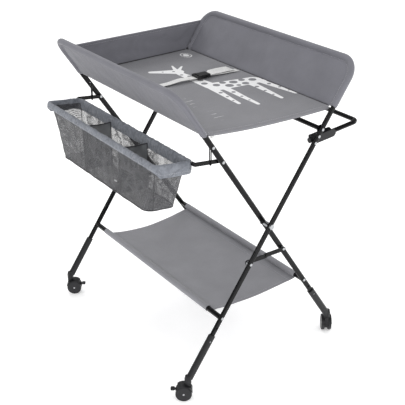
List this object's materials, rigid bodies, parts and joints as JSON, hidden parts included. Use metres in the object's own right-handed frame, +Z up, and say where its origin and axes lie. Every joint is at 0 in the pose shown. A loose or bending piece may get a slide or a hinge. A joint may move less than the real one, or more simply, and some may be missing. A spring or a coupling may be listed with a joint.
{
  "type": "folding changing table",
  "caption": "Folding changing table: crossed tube frames with a cloth tray and side wings, hanging mesh basket, cloth shelf, towel rail and braked casters.",
  "frame": {"origin": "floor level, under the middle of the whole object", "axes": "+X across the scissor, from the basket towards the towel rail; +Y from the open edge towards the back wing; +Z up"},
  "size_m": [0.7192, 0.7926, 0.9584],
  "materials": {
    "powder_black": "black powder coat, satin",
    "plastic_dark": "moulded, fine texture",
    "rivet_steel": "domed rivet heads",
    "tray_cloth": "coated woven cloth, grey",
    "shelf_cloth": "plain woven cloth, grey",
    "band_cloth": "gathered woven cloth, grey",
    "mesh": "open knitted mesh, see-through",
    "webbing": "woven webbing, white",
    "buckle_plastic": "moulded, semi-gloss",
    "wheel_plastic": "moulded wheel"
  },
  "bodies": {
    "outer_frame": {"outer_leg_near": "powder_black", "outer_leg_far": "powder_black", "outer_hoop": "powder_black", "right_wing": "tray_cloth", "tray_crossbar": "powder_black", "outer_shelf_tube": "powder_black", "tray_floor": "tray_cloth", "back_wing": "tray_cloth", "belt_left": "webbing", "belt_right": "webbing", "shelf_cloth": "shelf_cloth", "outer_rivets": "rivet_steel", "pivot_bolts": "rivet_steel", "rail_bracket_near": "plastic_dark", "rail_bracket_far": "plastic_dark"},
    "inner_frame": {"inner_leg_near": "powder_black", "inner_leg_far": "powder_black", "inner_hoop": "powder_black", "left_wing": "tray_cloth", "inner_shelf_tube": "powder_black", "inner_rivets": "rivet_steel", "basket_hooks": "powder_black"},
    "basket": {"basket_frame": "powder_black", "basket_bag": "mesh", "basket_band": "band_cloth", "basket_dividers": "band_cloth"},
    "rail": {"towel_rail": "powder_black", "rail_caps": "plastic_dark"},
    "buckle_half": {"buckle_socket": "buckle_plastic"},
    "buckle_plug": {"buckle_tongue": "buckle_plastic"},
    "link_outer_near": {"lock_link_outer_near": "powder_black"},
    "link_inner_near": {"lock_link_inner_near": "powder_black"},
    "link_outer_far": {"lock_link_outer_far": "powder_black"},
    "link_inner_far": {"lock_link_inner_far": "powder_black"},
    "foot_body_outer_near": {"foot_outer_near": "plastic_dark"},
    "button_outer_near": {"snap_button_outer_near": "rivet_steel"},
    "caster_outer_near": {"caster_housing_outer_near": "plastic_dark", "caster_axle_outer_near": "rivet_steel"},
    "wheels_outer_near": {"caster_wheels_outer_near": "wheel_plastic"},
    "pedal_outer_near": {"caster_pedal_outer_near": "plastic_dark"},
    "foot_body_outer_far": {"foot_outer_far": "plastic_dark"},
    "button_outer_far": {"snap_button_outer_far": "rivet_steel"},
    "caster_outer_far": {"caster_housing_outer_far": "plastic_dark", "caster_axle_outer_far": "rivet_steel"},
    "wheels_outer_far": {"caster_wheels_outer_far": "wheel_plastic"},
    "pedal_outer_far": {"caster_pedal_outer_far": "plastic_dark"},
    "foot_body_inner_near": {"foot_inner_near": "plastic_dark"},
    "button_inner_near": {"snap_button_inner_near": "rivet_steel"},
    "caster_inner_near": {"caster_housing_inner_near": "plastic_dark", "caster_axle_inner_near": "rivet_steel"},
    "wheels_inner_near": {"caster_wheels_inner_near": "wheel_plastic"},
    "pedal_inner_near": {"caster_pedal_inner_near": "plastic_dark"},
    "foot_body_inner_far": {"foot_inner_far": "plastic_dark"},
    "button_inner_far": {"snap_button_inner_far": "rivet_steel"},
    "caster_inner_far": {"caster_housing_inner_far": "plastic_dark", "caster_axle_inner_far": "rivet_steel"},
    "wheels_inner_far": {"caster_wheels_inner_far": "wheel_plastic"},
    "pedal_inner_far": {"caster_pedal_inner_far": "plastic_dark"}
  },
  "joints": [
    {"name": "scissor_fold", "type": "hinge", "parent": "outer_frame", "child": "inner_frame", "pos_m": [0.00828, 0, 0.496], "axis": [0, 1, 0], "range_deg": [0, 55], "deforming": ["tray_floor", "back_wing", "belt_left", "belt_right", "shelf_cloth"]},
    {"name": "link_outer_near_turn", "type": "hinge", "parent": "outer_frame", "child": "link_outer_near", "pos_m": [-0.06453, -0.3605, 0.39073], "axis": [0, 1, 0], "range_deg": [-55, 0]},
    {"name": "link_inner_near_turn", "type": "hinge", "parent": "inner_frame", "child": "link_inner_near", "pos_m": [0.07949, -0.3605, 0.38963], "axis": [0, 1, 0], "range_deg": [0, 55]},
    {"name": "link_outer_far_turn", "type": "hinge", "parent": "outer_frame", "child": "link_outer_far", "pos_m": [-0.06453, 0.3605, 0.39073], "axis": [0, 1, 0], "range_deg": [-55, 0]},
    {"name": "link_inner_far_turn", "type": "hinge", "parent": "inner_frame", "child": "link_inner_far", "pos_m": [0.07949, 0.3605, 0.38963], "axis": [0, 1, 0], "range_deg": [0, 55]},
    {"name": "buckle_gather", "type": "slide", "parent": "outer_frame", "child": "buckle_half", "axis": [1, 0, 0], "range_m": [0, 0.125]},
    {"name": "buckle_release", "type": "slide", "parent": "buckle_half", "child": "buckle_plug", "axis": [-1, 0, 0], "range_m": [0, 0.03]},
    {"name": "basket_raise", "type": "hinge", "parent": "inner_frame", "child": "basket", "pos_m": [-0.1486, 0, 0.73034], "axis": [0, 1, 0], "range_deg": [0, 30]},
    {"name": "rail_raise", "type": "hinge", "parent": "outer_frame", "child": "rail", "pos_m": [0.23325, 0, 0.73451], "axis": [0, -1, 0], "range_deg": [0, 45]},
    {"name": "foot_height_outer_near", "type": "slide", "parent": "outer_frame", "child": "foot_body_outer_near", "axis": [0.5688, 0, 0.8224], "range_m": [0, 0.045]},
    {"name": "button_press_outer_near", "type": "slide", "parent": "outer_frame", "child": "button_outer_near", "axis": [0, 1, 0], "range_m": [0, 0.002], "stiffness_N_per_m": 1500, "springref_m": -0.001},
    {"name": "caster_swivel_outer_near", "type": "hinge", "parent": "foot_body_outer_near", "child": "caster_outer_near", "pos_m": [-0.28948, -0.375, 0.058], "axis": [0, 0, 1], "continuous": true},
    {"name": "wheel_spin_outer_near", "type": "hinge", "parent": "caster_outer_near", "child": "wheels_outer_near", "pos_m": [-0.30013, -0.36754, 0.025], "axis": [-0.5736, -0.8192, 0], "continuous": true},
    {"name": "brake_press_outer_near", "type": "hinge", "parent": "caster_outer_near", "child": "pedal_outer_near", "pos_m": [-0.3075, -0.36238, 0.036], "axis": [-0.5736, -0.8192, 0], "range_deg": [0, 12]},
    {"name": "foot_height_outer_far", "type": "slide", "parent": "outer_frame", "child": "foot_body_outer_far", "axis": [0.5688, 0, 0.8224], "range_m": [0, 0.045]},
    {"name": "button_press_outer_far", "type": "slide", "parent": "outer_frame", "child": "button_outer_far", "axis": [0, -1, 0], "range_m": [0, 0.002], "stiffness_N_per_m": 1500, "springref_m": -0.001},
    {"name": "caster_swivel_outer_far", "type": "hinge", "parent": "foot_body_outer_far", "child": "caster_outer_far", "pos_m": [-0.28948, 0.375, 0.058], "axis": [0, 0, 1], "continuous": true},
    {"name": "wheel_spin_outer_far", "type": "hinge", "parent": "caster_outer_far", "child": "wheels_outer_far", "pos_m": [-0.27883, 0.36754, 0.025], "axis": [0.5736, 0.8192, 0], "continuous": true},
    {"name": "brake_press_outer_far", "type": "hinge", "parent": "caster_outer_far", "child": "pedal_outer_far", "pos_m": [-0.27146, 0.36238, 0.036], "axis": [0.5736, 0.8192, 0], "range_deg": [0, 12]},
    {"name": "foot_height_inner_near", "type": "slide", "parent": "inner_frame", "child": "foot_body_inner_near", "axis": [-0.5563, 0, 0.831], "range_m": [0, 0.045]},
    {"name": "button_press_inner_near", "type": "slide", "parent": "inner_frame", "child": "button_inner_near", "axis": [0, 1, 0], "range_m": [0, 0.002], "stiffness_N_per_m": 1500, "springref_m": -0.001},
    {"name": "caster_swivel_inner_near", "type": "hinge", "parent": "foot_body_inner_near", "child": "caster_inner_near", "pos_m": [0.29647, -0.346, 0.058], "axis": [0, 0, 1], "continuous": true},
    {"name": "wheel_spin_inner_near", "type": "hinge", "parent": "caster_inner_near", "child": "wheels_inner_near", "pos_m": [0.30393, -0.33535, 0.025], "axis": [-0.8192, 0.5736, 0], "continuous": true},
    {"name": "brake_press_inner_near", "type": "hinge", "parent": "caster_inner_near", "child": "pedal_inner_near", "pos_m": [0.30909, -0.32798, 0.036], "axis": [-0.8192, 0.5736, 0], "range_deg": [0, 12]},
    {"name": "foot_height_inner_far", "type": "slide", "parent": "inner_frame", "child": "foot_body_inner_far", "axis": [-0.5563, 0, 0.831], "range_m": [0, 0.045]},
    {"name": "button_press_inner_far", "type": "slide", "parent": "inner_frame", "child": "button_inner_far", "axis": [0, -1, 0], "range_m": [0, 0.002], "stiffness_N_per_m": 1500, "springref_m": -0.001},
    {"name": "caster_swivel_inner_far", "type": "hinge", "parent": "foot_body_inner_far", "child": "caster_inner_far", "pos_m": [0.29647, 0.346, 0.058], "axis": [0, 0, 1], "continuous": true},
    {"name": "wheel_spin_inner_far", "type": "hinge", "parent": "caster_inner_far", "child": "wheels_inner_far", "pos_m": [0.28902, 0.33535, 0.025], "axis": [0.8192, -0.5736, 0], "continuous": true},
    {"name": "brake_press_inner_far", "type": "hinge", "parent": "caster_inner_far", "child": "pedal_inner_far", "pos_m": [0.28386, 0.32798, 0.036], "axis": [0.8192, -0.5736, 0], "range_deg": [0, 12]}
  ],
  "couplings": [
    {"joint": "link_outer_near_turn", "follows": "scissor_fold", "ratio": -0.90909},
    {"joint": "link_inner_near_turn", "follows": "scissor_fold", "ratio": 0.92545},
    {"joint": "link_outer_far_turn", "follows": "scissor_fold", "ratio": -0.90909},
    {"joint": "link_inner_far_turn", "follows": "scissor_fold", "ratio": 0.92545},
    {"joint": "buckle_gather", "follows": "scissor_fold", "m_per_rad": 0.12501}
  ]
}
